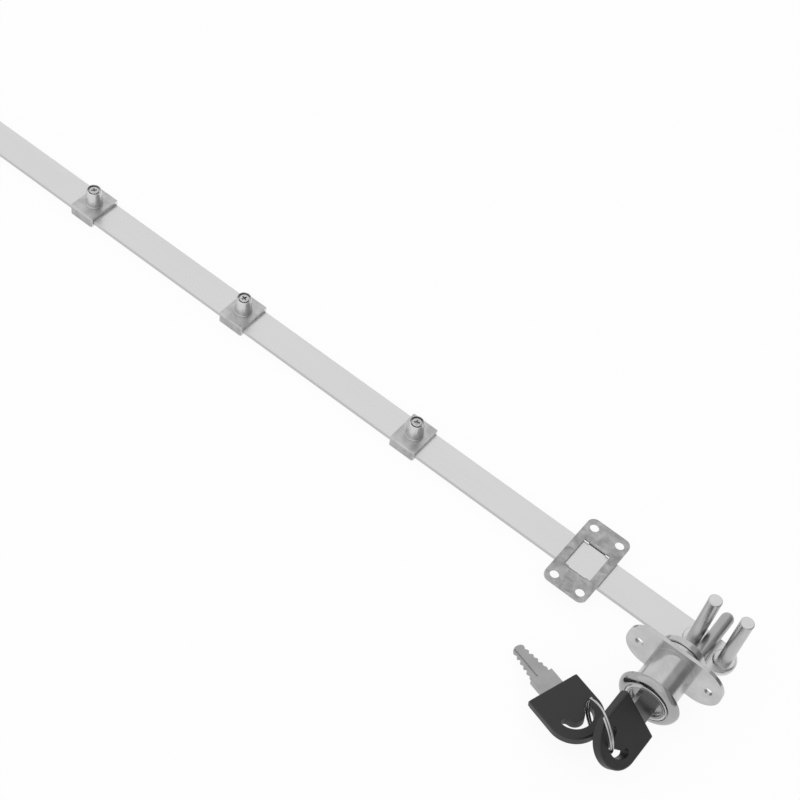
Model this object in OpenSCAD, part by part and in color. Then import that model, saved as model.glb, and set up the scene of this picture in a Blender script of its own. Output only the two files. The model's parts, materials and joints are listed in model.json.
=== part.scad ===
// Rod lock for a drawer cabinet: a keyed barrel turns an eccentric pin, the pin pushes a flat
// rod along by its two posts, and three cleats on the rod hold the drawers.
// Millimetres. X runs along the rod, +Y from the key to the back, +Z out of the rod's face.
// The origin is where the lock's axis crosses the seat face of the flange.

/* [Rod] */
// Length of the rod, its rounded end included
rod_len = 500; // [440:1:700]
// Width of the rod
rod_w = 15; // [13:0.5:16]
// Thickness of the rod
rod_t = 2; // [1.5:0.1:2.5]
// Height of the lock's axis over the rod's face
axis_h = 12; // [11.2:0.1:14]
// Distance from the flange's seat to the rod's centre line
rod_y = 24.2; // [21:0.1:27]
// Distance from the lock's axis to the rod's rounded end
rod_end_x = 18.7; // [18.4:0.1:24]

/* [Posts and drive pin] */
// Diameter of each post and of the drive pin
post_d = 5.8; // [5:0.1:6]
// Height of a post over the rod's face
post_h = 31.5; // [22:0.5:34]
// Diameter of the collar at a post's foot
collar_d = 9.4; // [8:0.1:10]
// Height of the collar
collar_h = 1.1; // [0.6:0.1:1.6]
// Diameter of the riveted spigots of the posts and the drive pin
spigot_d = 4; // [3:0.1:4.4]
// Distance from the lock's axis to the drive pin's axis
throw_r = 7; // [6.4:0.1:7]
// Free gap from the drive pin to the inner post
inner_gap = 0.55; // [0.5:0.05:1]
// Free gap from the drive pin to the outer post
outer_gap = 2.75; // [1:0.05:3.2]
// Length of the drive pin behind the cam disc, its domed tip included
drive_len = 31.4; // [26:0.1:34]

/* [Cleats] */
// Place of the first cleat along the rod
cleat_1_x = -147.5; // [-170:0.5:-130]
// Place of the second cleat along the rod
cleat_2_x = -246; // [-270:0.5:-220]
// Place of the third cleat along the rod
cleat_3_x = -338.5; // [-370:0.5:-310]
// Length of a cleat's block along the rod
cleat_len = 13.3; // [11:0.1:16]
// Side wall of the block, outside the rod
cleat_wall = 1.25; // [1:0.05:2]
// Thickness of the block over the rod
cleat_top_t = 1.9; // [1.5:0.1:3]
// Thickness of the lips under the rod
cleat_lip_t = 1.15; // [0.8:0.05:1.6]
// Reach of each lip under the rod
cleat_lip_w = 3; // [1.5:0.1:4]
// Diameter of a cleat's pin
pin_d = 7.8; // [7.7:0.1:8.2]
// Height of the pin over the block
pin_h = 8.6; // [7:0.1:11]
// Diameter of the ring at the pin's foot
pin_foot_d = 8.6; // [8.6:0.1:9.4]
// Diameter of the pin's open mouth
pin_mouth_d = 5.1; // [5:0.1:5.4]
// Depth of the pin's mouth
pin_mouth_h = 2.9; // [2.9:0.1:3.6]
// Diameter of the set screw's shank
set_d = 3.6; // [3:0.1:3.8]
// Diameter of the set screw's head
set_head_d = 4.4; // [4:0.1:4.6]
// Height of the set screw's head
set_head_h = 1.9; // [1.5:0.1:2]

/* [Guide bracket] */
// Place of the bracket along the rod
guide_x = -55; // [-75:0.5:-45]
// Size of the bracket along the rod
guide_w = 21.1; // [19:0.1:26]
// Size of the bracket across the rod
guide_len = 38.7; // [37:0.1:46]
// Thickness of the bracket's sheet
guide_t = 1.1; // [0.8:0.1:1.5]
// Spacing of the bracket's holes along the rod
guide_pitch_x = 13; // [12:0.1:13.5]
// Spacing of the bracket's holes across the rod
guide_pitch_y = 30.3; // [29:0.1:31]
// Diameter of the bracket's screw holes
guide_hole_d = 4.2; // [3.2:0.1:4.4]
// Size of the bracket's window along the rod
guide_window = 13; // [10:0.1:14]
// Width of each bent tab
guide_tab_w = 8.5; // [6:0.1:9.5]
// Length of each tab below the rod's face
guide_tab_drop = 2.6; // [2:0.1:5]

/* [Lock housing] */
// Diameter of the barrel
barrel_d = 19; // [18.8:0.1:20]
// Length of the barrel in front of the flange
barrel_len = 21; // [21:0.1:26]
// Width of the flange
flange_w = 44.2; // [43:0.1:50]
// Height of the flange
flange_h = 23; // [21.5:0.1:23]
// Thickness of the flange
flange_t = 1.6; // [1.2:0.1:2]
// Corner radius of the flange
flange_r = 10.5; // [8:0.1:10.7]
// Spacing of the flange's holes
flange_pitch = 32.8; // [32:0.1:34]
// Diameter of the flange's holes
flange_hole_d = 3.8; // [3.2:0.1:4.6]
// Length of the boss behind the flange
boss_len = 3; // [3:0.1:4]
// Outer diameter of the bezel ring
bezel_d = 27; // [25:0.1:28]
// Depth of the bezel ring
bezel_t = 3; // [2.5:0.1:3.2]

/* [Plug and cam] */
// Diameter of the plug's head
head_d = 16.4; // [16:0.1:16.5]
// Thickness of the plug's head
head_t = 2.2; // [2:0.1:2.3]
// Depth of the dish in the plug's head
dish_h = 1.6; // [1:0.1:1.6]
// Diameter of the plug's body
plug_d = 14; // [14:0.1:14.2]
// Diameter of the plug's tail
tail_d = 9; // [8.4:0.1:9]
// Width across the tail's two flats
tail_flats = 7; // [6.4:0.1:7]
// Diameter of the cam disc
cam_d = 19.6; // [19:0.1:20.5]
// Thickness of the cam disc
cam_t = 3.2; // [3:0.1:4.5]
// Distance between neighbouring wafers
wafer_pitch = 2.6; // [2.5:0.05:2.65]
// Thickness of a wafer
wafer_t = 1.2; // [1:0.05:1.3]

/* [Keys and ring] */
// Width of a key's bow
bow_w = 23.5; // [22:0.1:25]
// Length of the bow's straight sides
bow_side = 14.2; // [13:0.1:16]
// Thickness of the bow
bow_t = 4.5; // [4:0.1:4.6]
// Inner radius of the bow's crescent slot
slot_r_in = 4; // [3.5:0.1:4]
// Outer radius of the bow's crescent slot
slot_r_out = 7.5; // [7.5:0.1:8]
// Width of the key's neck
neck_w = 10.4; // [9.6:0.1:11]
// Length of the key's neck
neck_len = 7.5; // [6:0.1:9]
// Width of the blade where it leaves the neck
blade_w = 8.7; // [8:0.1:8.8]
// Length of the blade beyond the neck
blade_len = 16.3; // [15.5:0.1:16.5]
// Thickness of the blade
blade_t = 2; // [1.8:0.1:2.1]
// Radius of the split ring's coil, to the wire's centre
ring_r = 10.8; // [10.7:0.05:10.9]
// Diameter of the split ring's wire
wire_d = 0.9; // [0.8:0.05:1]

/* [Hidden] */
$fn = 64;

// Overshoot of a cut past the face it starts from
cut = 0.5;
// Radial clearance of a turning fit
run = 0.05;
// Radial clearance of a fixed screw or pin
snug = 0.02;
// Play of the rod in its guide and in the cleats
guide_play = 0.35;
guide_lift = 0.3;
cleat_play = 0.15;
// Edge break on turned pieces
edge = 0.4;

// Levels along Z
rod_face = -axis_h;
rod_back = rod_face - rod_t;
guide_z = rod_face + guide_lift;
cleat_seat = rod_face + cleat_top_t;
cleat_base = rod_back - cleat_play - cleat_lip_t;

// Levels along the lock's axis, Y in the part and Z inside on_axis()
barrel_front = -barrel_len;
head_back = barrel_front + head_t;
key_stop = barrel_front + dish_h;
bow_centre = key_stop - neck_len - bow_side;
rear_wall = flange_t - 0.4;
boss_back = flange_t + boss_len;
cam_front = boss_back + 0.2;
cam_back = cam_front + cam_t;

// Angle of the inserted key's width from the flange's length at rest
key_turn = 45;
// Places along X of the drive pin at rest and of the two posts
pin_rest_x = throw_r * cos(key_turn);
post_inner_x = pin_rest_x - post_d - inner_gap;
post_outer_x = pin_rest_x + post_d + outer_gap;

// Angle through which the key turns
quarter = 90;
// Thread size of the cam disc's screw
screw_d = 3.5;
// Stop lug on the cam disc and the groove that it runs in
lug_d = 2;
lug_h = 1.4;
lug_r = 6.9;
lug_play = 0.1;

// Wafers: the first one's place behind the key's stop, half size across, lug and spring
wafer_count = 5;
wafer_first = 2.9;
wafer_half = 3;
wafer_play = 0.05;
wafer_lug = 1.6;
wafer_lug_from = 1.4;
wafer_lug_to = 2.8;
window_play = 0.15;
groove_depth = 1.1;
spring_from = -3.7;
spring_wire = 0.24;
spring_turns = 4.5;

// Corner radius of a cleat's block, seen from above, and the chamfer of its top edges
cleat_corner = 1;
cleat_edge = 0.6;
// Spigot of a cleat's pin in the block
pin_spigot_d = 5.2;
// Height of the ring at the foot of a cleat's pin
pin_foot_h = 0.6;
// Chamfer round the top of a cleat's pin
pin_chamfer = 1;
// Distance from the top of a cleat's pin down to its set screw
set_sink = 0.9;

// Blade: taper of each side per millimetre, depth of the cut at each wafer, steepness of the
// cuts' flanks, tip, groove and tang
taper = 0.13;
bites = [0.5, 0.85, 0.6, 0.9, 0.55];
flank = 1.6;
tip_from = 1.6;
blade_steps = 44;
ward_x = 1.9;
ward_w = 1.1;
ward_h = 0.6;
keyway_play = 0.1;
tang_w = 7.4;
tang_len = 8;
neck_t = blade_t + 0.5;
bow_edge = 0.9;
slot_half_angle = 78;

// Free gap between the split ring's two coils, half angle of the crossing between them, and
// angle from each crossing to the wire's cut end
coil_gap = 0.06;
ring_cross = 30;
ring_cut = 6;
// Place and attitude of the split ring and of the loose key, both set from the inserted bow
ring_at = [-8.1, bow_centre - 0.45, 0.5];
ring_tilt = [0, 84.7, 58.3];
ring_end = 150;
key_2_at = [-18.6, bow_centre + 0.8, -7.15];
key_2_yaw = -109.2;
key_2_pitch = 9.7;
key_2_roll = 1.9;

// Half width of the blade's envelope at a distance s past the neck
function envelope(s) = blade_w / 2 - taper * s;
// Depth of the cut whose wafer is nearest to a distance s past the neck
function cut_depth(s) =
    bites[max(0, min(wafer_count - 1, round((s - wafer_first) / wafer_pitch)))];
// Half width of the blade with its cuts, one at each wafer
function blade_half(s) =
    let (wave = flank * cos(360 * (s - wafer_first) / wafer_pitch))
    envelope(s) - cut_depth(s) * (1 + max(-1, min(1, wave))) / 2;
// Half width with the rounded tip
function blade_edge(s) =
    s < blade_len - tip_from ? blade_half(s)
    : let (t = (s - blade_len + tip_from) / tip_from)
      blade_half(blade_len - tip_from) * (0.25 + 0.75 * sqrt(1 - t * t));

// Place of a wafer's middle along the lock's axis
function wafer_y(i) = key_stop + wafer_first + (i - 1) * wafer_pitch;

// Turns a piece drawn round +Z so that it lies round +Y, its local Y pointing down
module on_axis() {
    rotate([-90, 0, 0]) children();
}

module rounded(w, h, r) {
    square([w - 2 * r, h], center = true);
    square([w, h - 2 * r], center = true);
    for (x = [-1, 1], y = [-1, 1])
        translate([x * (w / 2 - r), y * (h / 2 - r)]) circle(r);
}

// Cross recess, its mouth at z = 0
module cross_recess(size, depth) {
    for (a = [0, 90])
        rotate([0, 0, a])
            translate([-size / 2, -size / 9, -depth])
                cube([size, size / 4.5, depth + cut]);
}

// Wire coil round Z: points on the section at angle a, height z, with the slope of the lead
function coil_section(r, wire, lead, a, z, sides) =
    let (along = [-sin(a), cos(a), lead / (2 * PI * r)],
         t = along / norm(along),
         n = [cos(a), sin(a), 0],
         b = cross(t, n))
    [for (k = [0:sides - 1])
        [r * cos(a), r * sin(a), z]
        + wire / 2 * (cos(360 * k / sides) * n + sin(360 * k / sides) * b)];

// Solid swept through sections that follow each other
module swept(sections) {
    n = len(sections);
    m = len(sections[0]);
    points = [for (s = sections) each s];
    sides = [for (i = [0:n - 2], k = [0:m - 1])
        let (a = i * m + k, b = i * m + (k + 1) % m)
        [a, b, b + m, a + m]];
    polyhedron(points, concat([[for (k = [m - 1:-1:0]) k]], sides,
                              [[for (k = [0:m - 1]) (n - 1) * m + k]]));
}

module coil(r, wire, lead, turns, steps, sides) {
    count = round(turns * steps);
    swept([for (i = [0:count])
        coil_section(r, wire, lead, 360 * i / steps, lead * i / steps, sides)]);
}

// Lock housing: barrel, flange and rear boss in one casting
module lock_housing() {
    color("silver") on_axis() difference() {
        union() {
            linear_extrude(flange_t) rounded(flange_w, flange_h, flange_r);
            rotate_extrude() polygon([
                [0, barrel_front],
                [barrel_d / 2 - edge, barrel_front],
                [barrel_d / 2, barrel_front + edge],
                [barrel_d / 2, flange_t],
                [barrel_d / 2 - edge, flange_t + edge],
                [barrel_d / 2 - edge, boss_back],
                [0, boss_back]]);
        }
        for (x = [-1, 1])
            translate([x * flange_pitch / 2, 0, -cut])
                cylinder(d = flange_hole_d, h = flange_t + 2 * cut);
        translate([0, 0, barrel_front - cut])
            cylinder(r = head_d / 2 + run, h = head_t + run + cut);
        translate([0, 0, barrel_front])
            cylinder(r = plug_d / 2 + run, h = rear_wall - barrel_front);
        cylinder(r = tail_d / 2 + run, h = boss_back + cut);
        for (a = [0, quarter]) rotate([0, 0, key_turn + a]) wafer_groove();
        stop_groove();
    }
}

// Groove in the bore that the wafers spring into without a key
module wafer_groove() {
    from = wafer_y(1) - wafer_t;
    to = wafer_y(wafer_count) + wafer_t;
    width = 2 * wafer_half + 0.4;
    translate([0, -width / 2, from])
        cube([plug_d / 2 + groove_depth, width, to - from]);
}

// Quarter-turn groove in the rear boss for the cam disc's stop lug
module stop_groove() {
    width = lug_d + 2 * lug_play;
    rotate([0, 0, key_turn + 180]) translate([0, 0, cam_front - lug_h - 0.2]) {
        rotate_extrude(angle = quarter)
            translate([lug_r - width / 2, 0]) square([width, lug_h + cut]);
        for (a = [0, quarter])
            rotate([0, 0, a]) translate([lug_r, 0, 0])
                cylinder(d = width, h = lug_h + cut);
    }
}

// Bezel ring: a convex rosette round the mouth of the barrel
module bezel_ring() {
    bore_r = barrel_d / 2 + run;
    crown_r = bezel_t + 0.35;
    color("gainsboro") on_axis() translate([0, 0, barrel_front]) rotate_extrude()
        intersection() {
            translate([bezel_d / 2 - crown_r, crown_r]) circle(crown_r);
            translate([bore_r, 0]) square([bezel_d / 2 - bore_r, bezel_t]);
        }
}

// Guide bracket: a flat plate over the rod, two tabs bent down beside it
module guide_bracket() {
    inner = rod_w / 2 + guide_play;
    bend = guide_t + 0.3;
    tab_low = rod_face - guide_tab_drop;
    color("darkgray") translate([guide_x, rod_y, 0]) {
        translate([0, 0, guide_z]) linear_extrude(guide_t) difference() {
            rounded(guide_w, guide_len, 3.5);
            square([guide_window, 2 * inner], center = true);
            square([guide_tab_w, 2 * (inner + bend)], center = true);
            for (x = [-1, 1], y = [-1, 1])
                translate([x * guide_pitch_x / 2, y * guide_pitch_y / 2])
                    circle(d = guide_hole_d);
        }
        for (side = [0, 180]) rotate([0, 0, side])
            translate([-guide_tab_w / 2, inner, 0])
                rotate([90, 0, 90]) linear_extrude(guide_tab_w) {
                    translate([bend, guide_z + guide_t - bend]) difference() {
                        circle(bend);
                        circle(bend - guide_t);
                        translate([0, -2 * bend]) square(4 * bend);
                        translate([-2 * bend, -4 * bend]) square(4 * bend);
                    }
                    translate([0, tab_low])
                        square([guide_t, guide_z + guide_t - bend - tab_low]);
                }
    }
}

// Plug: dished head, slotted body, and a tail with two flats for the cam disc
module lock_plug() {
    keyway_end = key_stop + blade_len + 0.5;
    tail_end = cam_back - 0.15;
    color("silver") on_axis() difference() {
        union() {
            rotate_extrude() polygon([
                [0, key_stop],
                [head_d / 2 - 1.1, key_stop],
                [head_d / 2 - 0.7, key_stop - 0.4],
                [head_d / 2 - 0.7, barrel_front],
                [head_d / 2 - 0.15, barrel_front],
                [head_d / 2, barrel_front + 0.15],
                [head_d / 2, head_back],
                [plug_d / 2, head_back],
                [plug_d / 2, rear_wall - 0.1],
                [tail_d / 2, rear_wall - 0.1],
                [tail_d / 2, cam_front],
                [0, cam_front]]);
            intersection() {
                cylinder(d = tail_d, h = tail_end);
                translate([-tail_d, -tail_flats / 2, 0])
                    cube([2 * tail_d, tail_flats, tail_end]);
            }
        }
        rotate([0, 0, key_turn]) {
            keyway(keyway_end);
            for (i = [1:wafer_count]) translate([0, 0, wafer_y(i)]) wafer_slot();
        }
        translate([0, 0, cam_front - 4])
            cylinder(d = screw_d, h = cam_t + 4 + cut);
    }
}

// Keyway, with the ward that runs in the blade's groove left standing
module keyway(deep) {
    half_w = blade_w / 2 + keyway_play;
    half_t = blade_t / 2 + keyway_play;
    ward_low = blade_t / 2 - ward_h + window_play;
    difference() {
        translate([-half_w, -half_t, barrel_front - cut])
            cube([2 * half_w, 2 * half_t, deep - barrel_front + cut]);
        translate([ward_x - ward_w / 2 + keyway_play, ward_low, key_stop])
            cube([ward_w - 2 * keyway_play, cut + half_t, deep - key_stop + cut]);
    }
}

// Slot for one wafer across the plug, with the pocket of its spring
module wafer_slot() {
    half = wafer_half + wafer_play;
    t = wafer_t + 2 * wafer_play;
    translate([-plug_d, -half, -t / 2]) cube([2 * plug_d, 2 * half, t]);
    translate([spring_from, -wafer_half - wafer_lug - 2 * wafer_play, -t / 2])
        cube([wafer_lug_to + 0.2 - spring_from, wafer_lug + wafer_half, t]);
}

// Wafer: a sprung plate with a window that the blade passes through
module wafer(i) {
    middle = wafer_first + (i - 1) * wafer_pitch;
    half_u = envelope(middle - wafer_t / 2) + window_play;
    half_v = blade_t / 2 + keyway_play + window_play;
    color("goldenrod") on_axis() rotate([0, 0, key_turn])
        translate([0, 0, wafer_y(i) - wafer_t / 2]) difference() {
            union() {
                intersection() {
                    cylinder(r = plug_d / 2 - run, h = wafer_t);
                    translate([-plug_d, -wafer_half, 0])
                        cube([2 * plug_d, 2 * wafer_half, wafer_t]);
                }
                translate([wafer_lug_from, -wafer_half - wafer_lug, 0])
                    cube([wafer_lug_to - wafer_lug_from, wafer_lug + cut, wafer_t]);
            }
            translate([-half_u, -half_v, -cut])
                cube([2 * half_u, 2 * half_v, wafer_t + 2 * cut]);
        }
}

// One small coil spring behind the lug of each wafer
module wafer_springs() {
    coil_r = wafer_t / 2 - spring_wire / 2;
    free_len = wafer_lug_from - spring_from - spring_wire - 2 * snug;
    color("dimgray") on_axis() rotate([0, 0, key_turn])
        for (i = [1:wafer_count])
            translate([spring_from + spring_wire / 2 + snug,
                       -wafer_half - wafer_lug / 2, wafer_y(i)])
                rotate([0, 90, 0])
                    coil(coil_r, spring_wire, free_len / spring_turns, spring_turns, 10, 5);
}

// Cam disc on the tail's flats, with the stop lug on its front face
module cam_disc() {
    color("silver") on_axis() difference() {
        union() {
            rotate_extrude() polygon([
                [0, cam_front],
                [cam_d / 2 - edge, cam_front],
                [cam_d / 2, cam_front + edge],
                [cam_d / 2, cam_back - edge],
                [cam_d / 2 - edge, cam_back],
                [0, cam_back]]);
            rotate([0, 0, key_turn + 180])
                translate([lug_r, 0, cam_front - lug_h])
                    cylinder(d = lug_d, h = lug_h + cut);
        }
        intersection() {
            translate([0, 0, cam_front - cut])
                cylinder(r = tail_d / 2 + run, h = cam_t + 2 * cut);
            translate([-tail_d, -tail_flats / 2 - run, cam_front - cut])
                cube([2 * tail_d, tail_flats + 2 * run, cam_t + 2 * cut]);
        }
        rotate([0, 0, key_turn]) translate([throw_r, 0, cam_front - cut])
            cylinder(d = spigot_d, h = cam_t + 2 * cut);
    }
}

// Eccentric drive pin, riveted in the cam disc
module drive_pin() {
    r = post_d / 2;
    color("gainsboro") on_axis() rotate([0, 0, key_turn]) translate([throw_r, 0, 0]) {
        translate([0, 0, cam_front]) cylinder(d = spigot_d, h = cam_t + cut);
        translate([0, 0, cam_back]) cylinder(r = r, h = drive_len - r);
        translate([0, 0, cam_back + drive_len - r]) sphere(r);
    }
}

// Screw that holds the cam disc against the tail's shoulder
module cam_screw() {
    head_r = 3.1;
    color("silver") on_axis() difference() {
        union() {
            translate([0, 0, cam_front - 3]) cylinder(r = screw_d / 2 - snug, h = cam_t + 3);
            translate([0, 0, cam_back]) cylinder(r = head_r, h = 1.3);
            translate([0, 0, cam_back + 1.3]) cylinder(r1 = head_r, r2 = head_r - 0.6, h = 0.6);
        }
        translate([0, 0, cam_back + 1.9]) cross_recess(3.6, 1.2);
    }
}

// Flat rod with one rounded end, pierced for the spigots of its posts
module lock_rod() {
    r = rod_w / 2;
    color("lightgray") translate([0, rod_y, rod_back]) linear_extrude(rod_t) difference() {
        union() {
            translate([rod_end_x - r, 0]) circle(r);
            translate([rod_end_x - rod_len, -r]) square([rod_len - r, rod_w]);
        }
        for (x = [post_inner_x, post_outer_x])
            translate([x, 0]) circle(d = spigot_d);
    }
}

// Post with its collar, riveted through the rod
module post(x) {
    r = post_d / 2;
    color("gainsboro") translate([x, rod_y, rod_face]) rotate_extrude() polygon([
        [0, -rod_t],
        [spigot_d / 2, -rod_t],
        [spigot_d / 2, 0],
        [collar_d / 2, 0],
        [collar_d / 2, collar_h - 0.3],
        [collar_d / 2 - 0.3, collar_h],
        [r, collar_h],
        [r, post_h - 0.3],
        [r - 0.3, post_h],
        [0, post_h]]);
}

// Cleat's block: a channel that holds the rod by two lips
module cleat_block(x) {
    half = rod_w / 2 + cleat_play;
    outer = half + cleat_wall;
    low = rod_back - cleat_play;
    high = rod_face + cleat_play;
    lip = rod_w / 2 - cleat_lip_w;
    color("darkgray") translate([x, rod_y, 0]) difference() {
        intersection() {
            translate([-cleat_len / 2, 0, 0]) rotate([90, 0, 90]) linear_extrude(cleat_len)
                polygon([
                    [-outer, cleat_base],
                    [-lip, cleat_base],
                    [-lip, low],
                    [-half, low],
                    [-half, high],
                    [half, high],
                    [half, low],
                    [lip, low],
                    [lip, cleat_base],
                    [outer, cleat_base],
                    [outer, cleat_seat - cleat_edge],
                    [outer - cleat_edge, cleat_seat],
                    [-outer + cleat_edge, cleat_seat],
                    [-outer, cleat_seat - cleat_edge]]);
            translate([0, 0, cleat_base])
                linear_extrude(cleat_seat - cleat_base)
                    rounded(cleat_len, 2 * outer, cleat_corner);
        }
        translate([0, 0, rod_face])
            cylinder(d = pin_spigot_d, h = cleat_top_t + cut);
    }
}

// Cleat's hollow pin, riveted in the block; its mouth takes the head of the set screw
module cleat_pin(x) {
    r = pin_d / 2;
    color("gainsboro") translate([x, rod_y, cleat_seat]) difference() {
        rotate_extrude() polygon([
            [0, cleat_play - cleat_top_t],
            [pin_spigot_d / 2, cleat_play - cleat_top_t],
            [pin_spigot_d / 2, 0],
            [pin_foot_d / 2, 0],
            [pin_foot_d / 2, pin_foot_h - 0.2],
            [pin_foot_d / 2 - 0.2, pin_foot_h],
            [r, pin_foot_h],
            [r, pin_h - pin_chamfer],
            [r - pin_chamfer, pin_h],
            [0, pin_h]]);
        translate([0, 0, -cleat_top_t]) cylinder(r = set_d / 2 + snug, h = pin_h + cleat_top_t);
        translate([0, 0, pin_h - pin_mouth_h]) cylinder(d = pin_mouth_d, h = pin_mouth_h + cut);
    }
}

// Set screw with a cross recess: its end bears on the rod and holds the cleat in place
module set_screw(x) {
    top = pin_h - set_sink;
    color("silver") translate([x, rod_y, cleat_seat]) difference() {
        union() {
            translate([0, 0, snug - cleat_top_t]) cylinder(d = set_d, h = top + cleat_top_t - snug);
            translate([0, 0, top - set_head_h]) cylinder(d = set_head_d, h = set_head_h);
        }
        translate([0, 0, top]) cross_recess(3, 1.1);
    }
}

// Places a key drawn flat, bow centre at the origin and blade towards -Y, in the lock
module in_lock() {
    on_axis() rotate([0, 0, key_turn])
        translate([0, 0, bow_centre])
            rotate([-90, 0, 0]) children();
}

// Places a key drawn flat as the loose second key that leans on the ring
module on_ring() {
    translate(key_2_at) rotate([0, 0, key_2_yaw]) rotate([key_2_pitch, 0, 0])
        rotate([0, key_2_roll, 0]) children();
}

// Key's blade with its neck and the tang inside the bow
module key_blade() {
    neck_y = -bow_side - neck_len;
    color("silver") difference() {
        union() {
            translate([0, neck_y, -blade_t / 2]) linear_extrude(blade_t) polygon(concat(
                [for (i = [0:blade_steps])
                    let (s = blade_len * i / blade_steps) [blade_edge(s), -s]],
                [for (i = [blade_steps:-1:0])
                    let (s = blade_len * i / blade_steps) [-blade_edge(s), -s]]));
            translate([-neck_w / 2, neck_y, -neck_t / 2]) cube([neck_w, neck_len, neck_t]);
            translate([-tang_w / 2, -bow_side - cut, -blade_t / 2])
                cube([tang_w, tang_len + cut, blade_t]);
        }
        translate([ward_x - ward_w / 2, neck_y - blade_len - cut, blade_t / 2 - ward_h])
            cube([ward_w, blade_len + cut, ward_h + cut]);
    }
}

// Key's bow: straight sides and a round end, rounded edges and a crescent slot for the ring
module key_bow() {
    half = bow_w / 2;
    inset = half - bow_edge;
    core = bow_t - 2 * bow_edge;
    color("#2b2b2b") difference() {
        union() {
            for (layer = [[half, bow_side, core], [inset, bow_side - bow_edge, bow_t]])
                translate([0, 0, -layer[2] / 2]) linear_extrude(layer[2]) {
                    circle(layer[0]);
                    translate([-layer[0], -layer[1]]) square([2 * layer[0], layer[1]]);
                }
            for (z = [-core / 2, core / 2]) translate([0, 0, z]) {
                rotate_extrude(angle = 180) translate([inset, 0]) circle(bow_edge, $fn = 24);
                for (x = [-inset, inset]) translate([x, bow_edge - bow_side, 0]) {
                    rotate([-90, 0, 0]) cylinder(r = bow_edge, h = bow_side - bow_edge, $fn = 24);
                    sphere(bow_edge, $fn = 24);
                }
                translate([-inset, bow_edge - bow_side, 0])
                    rotate([0, 90, 0]) cylinder(r = bow_edge, h = 2 * inset, $fn = 24);
            }
        }
        crescent();
        translate([-tang_w / 2, -bow_side - cut, -blade_t / 2])
            cube([tang_w, tang_len + cut, blade_t]);
    }
}

// Crescent slot round the bow's centre, its ends rounded
module crescent() {
    middle = (slot_r_in + slot_r_out) / 2;
    width = slot_r_out - slot_r_in;
    translate([0, 0, -bow_t]) {
        rotate([0, 0, 90 - slot_half_angle])
            rotate_extrude(angle = 2 * slot_half_angle)
                translate([slot_r_in, 0]) square([width, 2 * bow_t]);
        for (a = [-slot_half_angle, slot_half_angle])
            rotate([0, 0, 90 + a]) translate([middle, 0, 0])
                cylinder(d = width, h = 2 * bow_t);
    }
}

// Height of the split ring's wire at angle a: two flat coils with a short crossing between
function ring_z(a) =
    (wire_d + coil_gap) / 2 * sin(90 * max(-1, min(1, (a - 360) / ring_cross)));

// Split ring: two turns of wire that lie side by side
module split_ring() {
    steps = 84;
    from = ring_cross + ring_cut;
    to = 720 - from;
    color("silver") translate(ring_at) rotate(ring_tilt) rotate([0, 0, ring_end])
        swept([for (i = [0:steps])
            let (a = from + (to - from) * i / steps)
            coil_section(ring_r, wire_d, 0, a, ring_z(a), 8)]);
}

lock_housing();
bezel_ring();
guide_bracket();
lock_plug();
wafer(1);  // wafer_1
wafer(2);  // wafer_2
wafer(3);  // wafer_3
wafer(4);  // wafer_4
wafer(5);  // wafer_5
wafer_springs();
cam_disc();
drive_pin();
cam_screw();
lock_rod();
post(post_inner_x);  // post_inner
post(post_outer_x);  // post_outer
cleat_block(cleat_1_x);  // cleat_block_1
cleat_pin(cleat_1_x);  // cleat_pin_1
set_screw(cleat_1_x);  // set_screw_1
cleat_block(cleat_2_x);  // cleat_block_2
cleat_pin(cleat_2_x);  // cleat_pin_2
set_screw(cleat_2_x);  // set_screw_2
cleat_block(cleat_3_x);  // cleat_block_3
cleat_pin(cleat_3_x);  // cleat_pin_3
set_screw(cleat_3_x);  // set_screw_3
in_lock() key_blade();  // key_blade_1
in_lock() key_bow();  // key_bow_1
split_ring();
on_ring() key_blade();  // key_blade_2
on_ring() key_bow();  // key_bow_2
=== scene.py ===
"""Drawer rod lock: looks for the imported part.

Lengths are in metres for the camera, floor and lamp, and in millimetres for the materials, the
ring's wire, the pins and the screws.
"""

import json
import math

import bpy
from mathutils import Euler, Matrix, Vector
from mathutils.geometry import tessellate_polygon


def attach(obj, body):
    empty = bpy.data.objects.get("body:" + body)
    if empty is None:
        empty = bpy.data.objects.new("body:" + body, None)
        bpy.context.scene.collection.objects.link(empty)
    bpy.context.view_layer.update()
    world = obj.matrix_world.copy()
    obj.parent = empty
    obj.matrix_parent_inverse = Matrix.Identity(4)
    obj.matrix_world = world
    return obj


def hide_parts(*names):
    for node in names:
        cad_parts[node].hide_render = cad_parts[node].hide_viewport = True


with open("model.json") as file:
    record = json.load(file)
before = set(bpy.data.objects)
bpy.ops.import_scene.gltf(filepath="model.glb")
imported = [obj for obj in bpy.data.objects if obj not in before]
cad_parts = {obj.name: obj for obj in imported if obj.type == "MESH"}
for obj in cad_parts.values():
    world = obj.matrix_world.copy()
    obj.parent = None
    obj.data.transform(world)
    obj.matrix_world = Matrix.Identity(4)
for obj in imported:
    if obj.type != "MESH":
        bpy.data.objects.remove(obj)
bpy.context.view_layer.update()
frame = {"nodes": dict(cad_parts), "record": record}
NODES = frame["nodes"]
MM = 0.001
MM_PER_METRE = 1000

# Camera: place and attitude fitted to the photograph
CAMERA_AT = Vector((0.03722, -0.34411, 0.55015))
CAMERA_VIEW = Vector((-0.28424, 0.53641, -0.79465))
CAMERA_UP = Vector((-0.55845, 0.58109, 0.59201))
SENSOR_WIDTH_MM, LENS_MM = 36.0, 72.266
CLIP = (0.01, 20.0)


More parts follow.
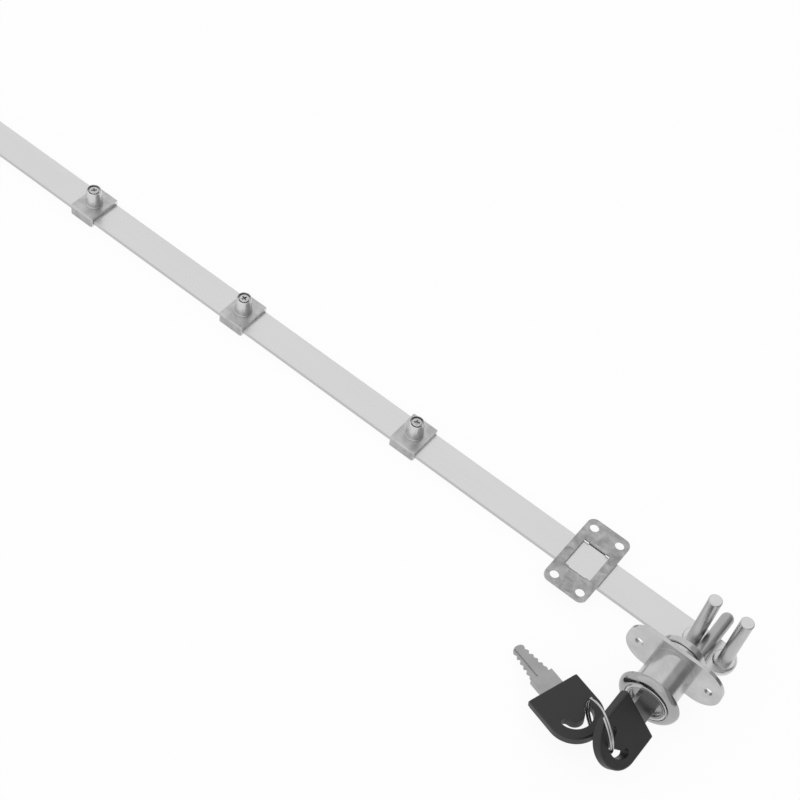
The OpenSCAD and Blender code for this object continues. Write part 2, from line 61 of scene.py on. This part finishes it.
def make_camera():
    view, up = CAMERA_VIEW.normalized(), CAMERA_UP.normalized()
    data = bpy.data.cameras.new("camera")
    data.sensor_width = SENSOR_WIDTH_MM
    data.lens = LENS_MM
    data.clip_start, data.clip_end = CLIP
    cam = bpy.data.objects.new("camera", data)
    bpy.context.scene.collection.objects.link(cam)
    turn = Matrix((view.cross(up), up, -view)).transposed()
    cam.matrix_world = Matrix.Translation(CAMERA_AT) @ turn.to_4x4()
    bpy.context.scene.camera = cam


make_camera()


# Short forms for node trees
def node_adder(nt):
    """A function that adds a node to a tree, links or sets its sockets and returns an output."""
    def add(kind, sockets=None, out=0, **attrs):
        node = nt.nodes.new("ShaderNode" + kind)
        for key, value in attrs.items():
            setattr(node, key, value)
        for key, value in (sockets or {}).items():
            if isinstance(value, bpy.types.NodeSocket):
                nt.links.new(value, node.inputs[key])
            else:
                node.inputs[key].default_value = value
        return node.outputs[out]
    return add


def put_out(nt, kind, shader):
    """Links a shader to a new output node, of kind Material or World."""
    nt.links.new(shader, nt.nodes.new("ShaderNodeOutput" + kind).inputs[0])


def rays(add, *names):
    """1 for the kinds of ray that are named, and 0 for all others."""
    seen = add("LightPath", out=names[0])
    for name in names[1:]:
        seen = add("Math", {0: seen, 1: add("LightPath", out=name)}, operation="MAXIMUM")
    return seen


BEVEL_SAMPLES = 6
# How alike the rounded and the plain normal are where an edge starts, and where it is full
EDGE_START, EDGE_FULL = 0.97, 0.85
# Radius of the lighter edges: a painted highlight, along with the wear that handling rubs bright
WORN_EDGE_HIGHLIGHT_R = 0.3


class Tree:
    """A material's node tree, with sockets given as numbers, colours or other nodes' outputs."""

    def __init__(self, name):
        self.material = bpy.data.materials.new(name)
        self.material.use_nodes = True
        self.tree = self.material.node_tree
        self.tree.nodes.clear()
        self.add = node_adder(self.tree)
        self.bsdf = self.tree.nodes.new("ShaderNodeBsdfPrincipled")
        put_out(self.tree, "Material", self.bsdf.outputs[0])

    def set(self, **values):
        for key, value in values.items():
            socket = self.bsdf.inputs[key.replace("_", " ")]
            if isinstance(value, bpy.types.NodeSocket):
                self.tree.links.new(value, socket)
            else:
                socket.default_value = value

    def place(self, scale=(1, 1, 1)):
        """The point on the piece in millimetres, stretched by scale."""
        return self.add("Mapping", {"Vector": self.add("TexCoord", out="Object"),
                                    "Scale": [s * MM_PER_METRE for s in scale]})

    def noise(self, at, scale, detail=2.0, rough=0.5, distortion=0.0):
        return self.add("TexNoise", {"Vector": at, "Scale": scale, "Detail": detail,
                                     "Roughness": rough, "Distortion": distortion})

    def ramp(self, value, low, high, to_low, to_high, smooth=False):
        return self.add("MapRange", {"Value": value, "From Min": low, "From Max": high,
                                     "To Min": to_low, "To Max": to_high},
                        interpolation_type="SMOOTHSTEP" if smooth else "LINEAR")

    def math(self, op, a, b=0.0):
        return self.add("Math", {0: a, 1: b}, operation=op)

    def blend(self, parts):
        """The sum of the values, each times its share."""
        first, *rest = [self.math("MULTIPLY", value, share) for value, share in parts]
        for part in rest:
            first = self.math("ADD", first, part)
        return first

    def mix(self, factor, a, b, blend_type="MIX"):
        return self.add("Mix", {"Factor": factor, 6: a, 7: b}, out=2, data_type="RGBA",
                        blend_type=blend_type)

    def tint(self, factor, dark, light):
        return self.mix(factor, (*dark, 1), (*light, 1))

    def edge_wear_and_highlight(self, color, amount):
        """The colour, lighter by amount along the edges: a painted highlight, along with handling
        wear.
        """
        rounded = self.add("Bevel", {"Radius": WORN_EDGE_HIGHLIGHT_R * MM}, samples=BEVEL_SAMPLES)
        plain = self.add("NewGeometry", out="True Normal")
        alike = self.add("VectorMath", {0: rounded, 1: plain}, out="Value",
                         operation="DOT_PRODUCT")
        return self.mix(self.ramp(alike, EDGE_START, EDGE_FULL, 0, amount), color, (1, 1, 1, 1))

    def bump(self, height, strength, distance, soft_edge=0.0):
        sockets = {"Height": height, "Strength": strength, "Distance": distance * MM}
        if soft_edge:
            sockets["Normal"] = self.add("Bevel", {"Radius": soft_edge * MM},
                                         samples=BEVEL_SAMPLES)
        self.set(Normal=self.add("Bump", sockets))


def rgb(v):
    return (v, v, v)


# Scale of the clouds on metal, depth of its grain, and the share of the clouds in its look
WEAR_SCALE, GRAIN_DEPTH, CLOUD_SHARE = 0.12, 0.01, 0.8
# How far a face looks along an axis where its painted light and shade starts, and where it is full
FACING_START, FACING_FULL = 0.9, 0.98


def metal(name, dark, light, rough, grain, wear=(1, 1, 1), soft_edge=0.12, bump=0.25,
          streaks=0.0, z_facing_painted_light=None, y_facing_painted_light=None, x_facing_painted_light=None, spread=0.18, edge_wear_and_highlight=0.0):
    """Plated or bare metal: fine grain, broad cloudy wear, and softly broken edges.

    grain and wear stretch the grain and the clouds. streaks is the strength of the long rolled
    or turned lines that the grain stretches into. The three facing factors, for Z, Y and X, make
    the flat faces that look up or down, the sheared sides that look along Y and the sawn ends
    that look along X that many times as light: painted light and shade by the way a face looks.
    The clouds are stronger for a small spread, and the edge factor is how far the edges go
    towards white: a painted highlight, along with the wear that handling rubs bright.
    """
    t = Tree(name)
    fine = t.noise(t.place(grain), scale=1.0, detail=3.0, rough=0.6)
    cloud = t.noise(t.place(wear), scale=WEAR_SCALE, detail=4.0, rough=0.55)
    mixed = t.blend([(fine, 1 - CLOUD_SHARE + streaks), (cloud, CLOUD_SHARE - streaks)])
    color = t.tint(t.ramp(mixed, 0.5 - spread, 0.5 + spread, 0, 1), dark, light)
    # Painted light and shade: faces made lighter or darker by the axis they look along
    for axis, times in (("Z", z_facing_painted_light), ("Y", y_facing_painted_light), ("X", x_facing_painted_light)):
        if times:
            normal = t.add("TexCoord", out="Normal")
            flat = t.math("ABSOLUTE", t.add("SeparateXYZ", {"Vector": normal}, out=axis))
            facing = t.ramp(flat, FACING_START, FACING_FULL, 0, 1, smooth=True)
            color = t.mix(facing, color, (*rgb(times), 1), blend_type="MULTIPLY")
    # Painted highlight along the edges, along with handling wear
    if edge_wear_and_highlight:
        color = t.edge_wear_and_highlight(color, edge_wear_and_highlight)
    t.set(Base_Color=color, Metallic=1.0, Roughness=t.ramp(mixed, 0.3, 0.7, *rough))
    t.bump(fine, bump, GRAIN_DEPTH, soft_edge)
    return t.material


def galvanised(name):
    """Hot-dipped sheet: cloudy patches, crystals of zinc and a duller film here and there."""
    t = Tree(name)
    at = t.place()
    cloud = t.noise(at, scale=0.22, detail=4.0, rough=0.6, distortion=0.6)
    crystal = t.add("TexVoronoi", {"Vector": at, "Scale": 0.55, "Randomness": 1.0}, out="Color")
    crystal = t.add("SeparateColor", {"Color": crystal}, out="Red")
    fine = t.noise(at, scale=2.4, detail=3.0, rough=0.6)
    mixed = t.blend([(cloud, 0.83), (crystal, 0.09), (fine, 0.08)])
    color = t.tint(t.ramp(mixed, 0.34, 0.70, 0, 1), rgb(0.29), rgb(0.47))
    # Edges lighter: a painted highlight, along with handling wear
    t.set(Base_Color=t.edge_wear_and_highlight(color, 0.15), Metallic=1.0,
          Roughness=t.ramp(mixed, 0.35, 0.7, 0.46, 0.30))
    height = t.math("ADD", fine, t.math("MULTIPLY", crystal, 0.6))
    t.bump(height, strength=0.10, distance=0.02, soft_edge=0.12)
    return t.material


def black_plastic(name):
    """Moulded black plastic: matt, with a fine grain and faint handling marks."""
    t = Tree(name)
    at = t.place()
    fine = t.noise(at, scale=5.0, detail=3.0, rough=0.6)
    cloud = t.noise(at, scale=0.2, detail=3.0, rough=0.5)
    scuff = t.noise(t.place((0.25, 2.5, 2.5)), scale=1.0)
    scuff = t.ramp(scuff, 0.62, 0.75, 0, 1, smooth=True)
    mixed = t.math("ADD", cloud, t.math("MULTIPLY", scuff, 0.25))
    t.set(Base_Color=t.tint(mixed, (0.011, 0.011, 0.012), (0.021, 0.021, 0.022)), Metallic=0.0,
          Roughness=t.ramp(mixed, 0.3, 0.8, 0.36, 0.5), IOR=1.45)
    t.bump(fine, strength=0.15, distance=0.02, soft_edge=0.25)
    return t.material


# Looks of the metals, by material slot or by kind of piece
# The edge factor below paints a highlight along the edges, along with handling wear
# The facing factors below paint light and shade: faces lighter or darker by the way they look
METALS = {
    # Rod: sides that look along Y are painted darker, a painted shade
    "rod_steel": dict(dark=rgb(0.65), light=rgb(0.67), rough=(0.26, 0.29),
                      grain=(0.02, 0.9, 0.9), wear=(0.15, 1, 1), bump=0.004, streaks=0.05,
                      y_facing_painted_light=0.79),
    "nickel_casting": dict(dark=rgb(0.48), light=rgb(0.57), rough=(0.16, 0.24),
                           grain=(1.2, 1.2, 1.2), bump=0.03, spread=0.12, edge_wear_and_highlight=0.15),
    "chrome_trim": dict(dark=rgb(0.34), light=rgb(0.41), rough=(0.11, 0.17), grain=(2, 2, 2),
                        bump=0.02),
    "nickel_plug": dict(dark=rgb(0.33), light=rgb(0.40), rough=(0.24, 0.32), grain=(2, 2, 2),
                        bump=0.03),
    # Turned steel: faces that look up or down are painted lighter, a painted light
    "turned_steel": dict(dark=rgb(0.46), light=rgb(0.53), rough=(0.26, 0.34),
                         grain=(0.2, 0.2, 6), bump=0.05, z_facing_painted_light=1.32),
    "drive_pin": dict(dark=rgb(0.36), light=rgb(0.44), rough=(0.28, 0.36), grain=(0.2, 6, 0.2),
                      bump=0.05),
    "cleat_pin": dict(dark=rgb(0.63), light=rgb(0.70), rough=(0.24, 0.32), grain=(0.3, 0.3, 5),
                      bump=0.04),
    "zinc_screw": dict(dark=rgb(0.46), light=rgb(0.58), rough=(0.22, 0.34), grain=(3, 3, 3),
                       bump=0.05),
    # Cleat: sides along Y painted darker and ends along X painted lighter, painted shade and light
    "cleat_zinc": dict(dark=rgb(0.41), light=rgb(0.54), rough=(0.28, 0.38),
                       grain=(1.6, 1.6, 1.6), wear=(1.8, 1.8, 1.8), bump=0.05, y_facing_painted_light=0.87,
                       x_facing_painted_light=1.6, spread=0.11, edge_wear_and_highlight=0.2),
    "key_steel": dict(dark=rgb(0.32), light=rgb(0.39), rough=(0.28, 0.36), grain=(4, 0.4, 4),
                      bump=0.05, edge_wear_and_highlight=0.15),
    "ring_wire": dict(dark=rgb(0.43), light=rgb(0.51), rough=(0.12, 0.2), grain=(2, 2, 2),
                      bump=0.02),
    "brass": dict(dark=(0.66, 0.50, 0.24), light=(0.80, 0.64, 0.36), rough=(0.25, 0.4),
                  grain=(2, 2, 2)),
    "spring_wire": dict(dark=rgb(0.40), light=rgb(0.50), rough=(0.2, 0.35), grain=(2, 2, 2),
                        soft_edge=0),
}
MATERIALS = {name: metal(name, **look) for name, look in METALS.items()}
MATERIALS["galvanised_sheet"] = galvanised("galvanised_sheet")
MATERIALS["key_plastic"] = black_plastic("key_plastic")

SLOT = {p["node"]: p["material_slot"] for p in frame["record"]["subparts"]}
BODY = {node: body for body, nodes in frame["record"]["behaviour"]["bodies"].items()
        for node in nodes}
# Pieces whose finish differs from that of the other pieces in their slot
OWN_FINISH = ("cleat_pin", "drive_pin")


def finish_of(node):
    """The node's material: its own where it has one, otherwise its slot's."""
    kind = node.rstrip("_123")
    return MATERIALS[kind if kind in OWN_FINISH else SLOT[node]]


for name, obj in NODES.items():
    obj.data.materials.clear()
    obj.data.materials.append(finish_of(name))


def new_piece(name, vertices, faces, node, sharp=None):
    """A piece that stands for a node, rides on its body and has its finish.

    It is shaded smooth, apart from edges that turn by more than sharp degrees, where it is given.
    """
    mesh = bpy.data.meshes.new(name)
    mesh.from_pydata(vertices, [], faces)
    mesh.validate()
    mesh.polygons.foreach_set("use_smooth", [True] * len(mesh.polygons))
    if sharp is not None:
        mesh.set_sharp_from_angle(angle=math.radians(sharp))
    obj = bpy.data.objects.new(name, mesh)
    bpy.context.scene.collection.objects.link(obj)
    mesh.materials.append(finish_of(node))
    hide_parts(node)
    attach(obj, BODY[node])


# Split ring: two turns of round wire side by side, which cross over once
RING_R, WIRE_R, COIL_GAP = 10.8, 0.45, 0.06
RING_AT = Vector((-8.1, -41.55, 0.5))
RING_TILT = (0.0, 84.7, 58.3)
# Degrees round the ring: the crossing's middle, half its span, and its gap to each end of the wire
CROSSING_AT, CROSSING_HALF, END_GAP = 150.0, 30.0, 6.0
TWO_TURNS = 720
RING_STEPS, WIRE_SIDES = 300, 14
# Chamfer at each end of the wire: the tip's share of the wire's radius, and the chamfer's length
TIP_SHARE, TIP_LEN = 0.8, 0.08


def make_split_ring():
    start = CROSSING_HALF + END_GAP
    end = TWO_TURNS - start
    tilt = Euler([math.radians(v) for v in RING_TILT]).to_matrix().to_4x4()
    spin = Matrix.Rotation(math.radians(CROSSING_AT), 4, "Z")
    place = Matrix.Translation(RING_AT) @ tilt @ spin

    def section(a, radius, along=0.0):
        """The wire's outline at an angle in degrees, moved along the wire by a length."""
        rise = max(-1.0, min(1.0, (a - TWO_TURNS / 2) / CROSSING_HALF))
        z = (2 * WIRE_R + COIL_GAP) / 2 * math.sin(math.pi / 2 * rise)
        t = math.radians(a) + along / RING_R
        out, up = Vector((math.cos(t), math.sin(t), 0)), Vector((0, 0, 1))
        middle = out * RING_R + up * z
        return [(place @ (middle + radius * (math.cos(k) * out + math.sin(k) * up))) * MM
                for k in (2 * math.pi * i / WIRE_SIDES for i in range(WIRE_SIDES))]

    rows = [section(start, WIRE_R * TIP_SHARE), section(start, WIRE_R, TIP_LEN)]
    rows += [section(start + (end - start) * i / RING_STEPS, WIRE_R)
             for i in range(1, RING_STEPS)]
    rows += [section(end, WIRE_R, -TIP_LEN), section(end, WIRE_R * TIP_SHARE)]
    vertices = [v for row in rows for v in row]
    faces = [tuple(range(WIRE_SIDES))[::-1]]
    for i in range(len(rows) - 1):
        for k in range(WIRE_SIDES):
            a, b = i * WIRE_SIDES + k, i * WIRE_SIDES + (k + 1) % WIRE_SIDES
            faces.append((a, b, b + WIRE_SIDES, a + WIRE_SIDES))
    last = (len(rows) - 1) * WIRE_SIDES
    faces.append(tuple(range(last, last + WIRE_SIDES)))
    new_piece("split_ring_wire", vertices, faces, "split_ring")


make_split_ring()

# Cleat pins and their set screws, turned about upright lines
PIN_SIDES = 80
# Edges of the turned pieces that turn by more than this many degrees are sharp
TURNED_SHARP = 35.0
SPIGOT_H = 1.75
# Profile of the pin over its own foot: spigot, foot ring, tapered body, lip, mouth and bore
PIN_PROFILE = [(2.6, 0.0), (2.6, 1.7), (2.6, SPIGOT_H), (4.25, SPIGOT_H), (4.3, 1.8),
               (4.3, 2.2), (4.27, 2.31), (4.2, 2.35), (4.14, 2.38), (4.12, 2.47), (3.42, 9.85),
               (3.4, 10.05), (3.35, 10.2), (3.28, 10.3), (3.2, 10.35), (3.1, 10.35),
               (3.02, 10.29), (2.97, 10.18), (2.95, 9.9), (2.93, 8.5), (1.86, 8.4), (1.86, 0.0)]
# Profile of the screw over its own foot: shank and head, up to the edge of the head's top
SCREW_PROFILE = [(1.6, 0.0), (1.8, 0.25), (1.8, 8.6), (2.28, 8.7), (2.26, 9.95), (2.2, 10.12),
                 (2.05, 10.22)]
# Cross recess: half its length, half an arm's width, and its depth
CROSS_LONG, CROSS_WIDE, CROSS_DEEP = 1.3, 0.36, 1.1
# Shares of its length and of an arm's width that are left at its floor
LONG_LEFT, WIDE_LEFT = 0.72, 0.6
# Degrees by which each cleat's cross is turned
SCREW_YAW = {1: 28.0, 2: 74.0, 3: 51.0}


def foot_of(node):
    """The point on a node's upright axis at its lowest level, in millimetres."""
    box = [NODES[node].matrix_world @ Vector(corner) for corner in NODES[node].bound_box]
    low = Vector([min(c[k] for c in box) for k in range(3)])
    high = Vector([max(c[k] for c in box) for k in range(3)])
    return Vector(((low.x + high.x) / 2, (low.y + high.y) / 2, low.z)) / MM


def turned(profile, at):
    """Vertices and faces of a profile, (radius, height) from the bottom up, turned about at."""
    circle = [2 * math.pi * i / PIN_SIDES for i in range(PIN_SIDES)]
    vertices = [(at + Vector((r * math.cos(a), r * math.sin(a), z))) * MM
                for r, z in profile for a in circle]
    faces = [(i * PIN_SIDES + k, i * PIN_SIDES + (k + 1) % PIN_SIDES,
              (i + 1) * PIN_SIDES + (k + 1) % PIN_SIDES, (i + 1) * PIN_SIDES + k)
             for i in range(len(profile) - 1) for k in range(PIN_SIDES)]
    return vertices, faces


def make_pin(number):
    node = f"cleat_pin_{number}"
    vertices, faces = turned(PIN_PROFILE, foot_of(node))
    last = (len(PIN_PROFILE) - 1) * PIN_SIDES
    faces += [(last + k, last + (k + 1) % PIN_SIDES, (k + 1) % PIN_SIDES, k)
              for k in range(PIN_SIDES)]
    new_piece(f"cleat_pin_{number}_turned", vertices, faces, node, TURNED_SHARP)


def cross(long, wide):
    """Corners of a cross, counter-clockwise."""
    arm = [(long, -wide), (long, wide), (wide, wide)]
    return [(x * c - y * s, x * s + y * c)
            for c, s in ((1, 0), (0, 1), (-1, 0), (0, -1)) for x, y in arm]


def make_screw(number):
    node = f"set_screw_{number}"
    at = foot_of(node)
    vertices, faces = turned(SCREW_PROFILE, at)
    faces.append(tuple(range(PIN_SIDES))[::-1])
    rim_at = (len(SCREW_PROFILE) - 1) * PIN_SIDES
    top = SCREW_PROFILE[-1][1]
    yaw = Matrix.Rotation(math.radians(SCREW_YAW[number]), 3, "Z")
    mouth = [yaw @ Vector((x, y, top)) for x, y in cross(CROSS_LONG, CROSS_WIDE)]
    floor = [yaw @ Vector((x, y, top - CROSS_DEEP))
             for x, y in cross(CROSS_LONG * LONG_LEFT, CROSS_WIDE * WIDE_LEFT)]
    mouth_at = len(vertices)
    floor_at = mouth_at + len(mouth)
    vertices += [(at + v) * MM for v in mouth + floor]
    # The head's top lies between its rim and the mouth of the cross
    rim = [vertices[rim_at + k] / MM - at for k in range(PIN_SIDES)]
    index = [rim_at + k for k in range(PIN_SIDES)] + [mouth_at + k for k in range(len(mouth))]
    flat = [Vector((v.x, v.y, 0)) for v in rim + mouth]
    for a, b, c in tessellate_polygon((flat[:PIN_SIDES], flat[PIN_SIDES:])):
        up = (flat[b] - flat[a]).cross(flat[c] - flat[a]).z > 0
        faces.append((index[a], index[b], index[c]) if up else (index[a], index[c], index[b]))
    n = len(mouth)
    faces += [(mouth_at + k, mouth_at + (k + 1) % n, floor_at + (k + 1) % n, floor_at + k)
              for k in range(n)]
    faces.append(tuple(floor_at + k for k in range(n)))
    new_piece(f"set_screw_{number}_turned", vertices, faces, node, TURNED_SHARP)


for cleat in SCREW_YAW:
    make_pin(cleat)
    make_screw(cleat)

# Floor, lamp and world
WHITE = (1.0, 1.0, 1.0, 1.0)
# Half the floor's side, and its level, 0.1 mm under the part's lowest point
FLOOR_REACH, FLOOR_LEVEL = 6.0, -15.4 * MM
FLOOR_COLOR = (0.9, 0.9, 0.9, 1)
# Share of the floor's look that is plain white, and the level of the soft light
FLOOR_GLOW = 0.92
SOFT_LIGHT = 0.9
# Parts of the room that are darker than white: direction, where each starts and is full, and by
# how much it is darker
DARK_PARTS = [
    ((0.9, 0.35, 0.15), 0.43, 0.50, 0.5),
    ((0.9, 0.35, 0.15), 0.82, 0.89, 0.27),
    ((0.1, -0.95, 0.3), 0.5, 0.95, 0.15),
]
# The darkest that any of them gets
DARKEST = 0.03


def make_stage():
    """White floor that keeps the object's shadow, and that the camera and the metal see alike."""
    r = FLOOR_REACH
    corners = [(-r, -r), (r, -r), (r, r), (-r, r)]
    mesh = bpy.data.meshes.new("floor")
    mesh.from_pydata([(x, y, FLOOR_LEVEL) for x, y in corners], [], [(0, 1, 2, 3)])
    floor = bpy.data.objects.new("floor", mesh)
    bpy.context.scene.collection.objects.link(floor)
    m = bpy.data.materials.new("floor")
    m.use_nodes = True
    m.node_tree.nodes.clear()
    add = node_adder(m.node_tree)
    seen = rays(add, "Is Camera Ray", "Is Glossy Ray", "Is Transmission Ray")
    part = add("Math", {0: seen, 1: FLOOR_GLOW}, operation="MULTIPLY")
    put_out(m.node_tree, "Material",
            add("MixShader", {0: part, 1: add("BsdfDiffuse", {"Color": FLOOR_COLOR}),
                              2: add("Emission", {"Strength": 1.0})}))
    mesh.materials.append(m)


def lamp(name, at, to, size, power):
    data = bpy.data.lights.new(name, "AREA")
    data.shape = "DISK"
    data.size = size
    data.energy = power
    obj = bpy.data.objects.new(name, data)
    bpy.context.scene.collection.objects.link(obj)
    obj.location = Vector(at)
    obj.rotation_mode = "QUATERNION"
    obj.rotation_quaternion = (Vector(to) - Vector(at)).to_track_quat("-Z", "Y")


def make_world():
    """White room: plain to the camera, with dark parts for the metal, and soft as a light."""
    world = bpy.data.worlds.new("studio")
    bpy.context.scene.world = world
    world.use_nodes = True
    nt = world.node_tree
    nt.nodes.clear()
    add = node_adder(nt)

    def background(strength):
        return add("Background", {"Color": WHITE, "Strength": strength})

    direction = add("TexCoord", out="Generated")
    room = 1.0
    for toward, start, full, amount in DARK_PARTS:
        near = add("VectorMath", {0: direction, 1: Vector(toward).normalized()},
                   out="Value", operation="DOT_PRODUCT")
        lobe = add("MapRange", {"Value": near, "From Min": start, "From Max": full,
                                "To Min": 0.0, "To Max": amount},
                   interpolation_type="SMOOTHSTEP")
        room = add("Math", {0: room, 1: lobe}, operation="SUBTRACT")
    room = add("Math", {0: room, 1: DARKEST}, operation="MAXIMUM")
    lit = add("MixShader", {0: rays(add, "Is Glossy Ray"), 1: background(SOFT_LIGHT),
                            2: background(room)})
    seen = rays(add, "Is Camera Ray", "Is Transmission Ray")
    put_out(nt, "World", add("MixShader", {0: seen, 1: lit, 2: background(1.0)}))


make_stage()
make_world()
lamp("key", at=(-0.5, -1.0, 0.9), to=(-0.05, 0.0, 0.0), size=2.4, power=3.0)

bpy.context.scene.view_settings.view_transform = "Standard"
